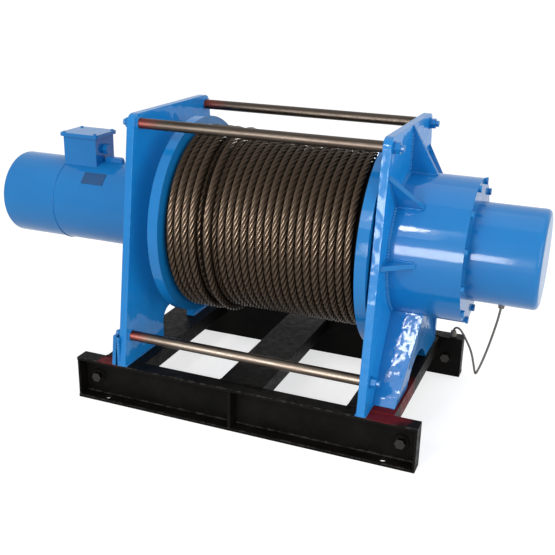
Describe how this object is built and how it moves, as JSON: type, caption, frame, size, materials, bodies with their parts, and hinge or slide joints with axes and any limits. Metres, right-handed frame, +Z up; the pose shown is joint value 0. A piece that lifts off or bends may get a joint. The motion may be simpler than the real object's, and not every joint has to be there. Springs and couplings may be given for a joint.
{
  "type": "electric winch",
  "caption": "Electric drum winch on a steel channel base: flanged motor, rope drum between tapered side plates, planetary gear housing with brake cap and tie rods.",
  "frame": {"origin": "on the floor at the middle of the base, centred on the four base bolt holes", "axes": "+X along the drum axis towards the gear end, +Y to the rear, +Z up"},
  "size_m": [1.518, 0.6, 0.777],
  "materials": {
    "black_paint": "satin black paint",
    "blue_paint": "gloss blue paint",
    "rod_steel": "turned steel",
    "rope_steel": "greased wire rope",
    "bolt_steel": "blackened steel",
    "drum_steel": "bare steel",
    "machined_steel": "machined steel",
    "coil_steel": "laminated core and varnished coils",
    "bronze": "machined bronze",
    "friction_lining": "moulded lining",
    "fan_plastic": "moulded plastic",
    "grey_rubber": "smooth sheath",
    "bare_aluminium": "painted over with the motor"
  },
  "bodies": {
    "frame": {"bearing_outer_races": "machined_steel", "brake_backplate": "machined_steel", "brake_cap": "blue_paint", "brake_lead": "grey_rubber", "brake_magnet": "coil_steel", "channel_bolts": "bolt_steel", "channel_stiffeners": "black_paint", "cover_bolts": "blue_paint", "cross_beams": "black_paint", "fan_cover": "blue_paint", "first_ring_gear": "machined_steel", "front_channel": "black_paint", "gear_end_cover": "blue_paint", "gear_housing": "blue_paint", "gear_pedestal": "blue_paint", "housing_ribs": "blue_paint", "lead_glands": "grey_rubber", "left_foot_doublers": "blue_paint", "left_side_plate": "blue_paint", "motor_drive_shield": "blue_paint", "motor_end_shield": "blue_paint", "motor_flange_bolts": "blue_paint", "motor_frame": "blue_paint", "motor_lifting_lug": "blue_paint", "motor_nameplate": "bare_aluminium", "motor_stator": "coil_steel", "rear_channel": "black_paint", "right_side_plate": "blue_paint", "second_ring_gear": "machined_steel", "shaft_bearings": "machined_steel", "terminal_box": "blue_paint", "terminal_box_lid": "blue_paint", "terminal_box_plugs": "blue_paint", "tie_rod_nuts": "blue_paint", "tie_rods": "rod_steel"},
    "drum": {"left_drum_flange": "blue_paint", "right_drum_flange": "blue_paint", "drum_barrel": "drum_steel", "rope_core": "rope_steel", "rope_winding": "rope_steel", "rope_clamp": "blue_paint", "bearing_inner_races": "machined_steel", "shaft_bushes": "bronze", "second_carrier": "machined_steel"},
    "shaft": {"input_shaft": "machined_steel", "motor_shaft": "machined_steel", "shaft_coupling": "machined_steel", "first_sun_gear": "machined_steel", "motor_rotor": "machined_steel", "cooling_fan": "fan_plastic", "brake_disc": "friction_lining"},
    "first_carrier": {"first_carrier": "machined_steel", "second_sun_gear": "machined_steel"},
    "brake_armature": {"brake_armature": "machined_steel"},
    "first_planet_1": {"first_planet_gear_1": "machined_steel"},
    "first_planet_2": {"first_planet_gear_2": "machined_steel"},
    "first_planet_3": {"first_planet_gear_3": "machined_steel"},
    "second_planet_1": {"second_planet_gear_1": "machined_steel"},
    "second_planet_2": {"second_planet_gear_2": "machined_steel"},
    "second_planet_3": {"second_planet_gear_3": "machined_steel"}
  },
  "joints": [
    {"name": "drum_spin", "type": "hinge", "parent": "frame", "child": "drum", "pos_m": [0, 0, 0.478], "axis": [1, 0, 0], "continuous": true},
    {"name": "shaft_spin", "type": "hinge", "parent": "frame", "child": "shaft", "pos_m": [0, 0, 0.478], "axis": [1, 0, 0], "continuous": true},
    {"name": "first_carrier_spin", "type": "hinge", "parent": "frame", "child": "first_carrier", "pos_m": [0, 0, 0.478], "axis": [1, 0, 0], "continuous": true},
    {"name": "first_planet_1_spin", "type": "hinge", "parent": "first_carrier", "child": "first_planet_1", "pos_m": [0, 0, 0.568], "axis": [1, 0, 0], "continuous": true},
    {"name": "first_planet_2_spin", "type": "hinge", "parent": "first_carrier", "child": "first_planet_2", "pos_m": [0, -0.07794, 0.433], "axis": [1, 0, 0], "continuous": true},
    {"name": "first_planet_3_spin", "type": "hinge", "parent": "first_carrier", "child": "first_planet_3", "pos_m": [0, 0.07794, 0.433], "axis": [1, 0, 0], "continuous": true},
    {"name": "second_planet_1_spin", "type": "hinge", "parent": "drum", "child": "second_planet_1", "pos_m": [0, 0, 0.568], "axis": [1, 0, 0], "continuous": true},
    {"name": "second_planet_2_spin", "type": "hinge", "parent": "drum", "child": "second_planet_2", "pos_m": [0, -0.07794, 0.433], "axis": [1, 0, 0], "continuous": true},
    {"name": "second_planet_3_spin", "type": "hinge", "parent": "drum", "child": "second_planet_3", "pos_m": [0, 0.07794, 0.433], "axis": [1, 0, 0], "continuous": true},
    {"name": "brake_release", "type": "slide", "parent": "frame", "child": "brake_armature", "axis": [-1, 0, 0], "range_m": [0, 0.0008], "stiffness_N_per_m": 50000}
  ],
  "couplings": [
    {"joint": "shaft_spin", "follows": "drum_spin", "ratio": 56.25},
    {"joint": "first_carrier_spin", "follows": "drum_spin", "ratio": 7.5},
    {"joint": "first_planet_1_spin", "follows": "drum_spin", "ratio": -17.727},
    {"joint": "first_planet_2_spin", "follows": "drum_spin", "ratio": -17.727},
    {"joint": "first_planet_3_spin", "follows": "drum_spin", "ratio": -17.727},
    {"joint": "second_planet_1_spin", "follows": "drum_spin", "ratio": -2.3636},
    {"joint": "second_planet_2_spin", "follows": "drum_spin", "ratio": -2.3636},
    {"joint": "second_planet_3_spin", "follows": "drum_spin", "ratio": -2.3636}
  ]
}
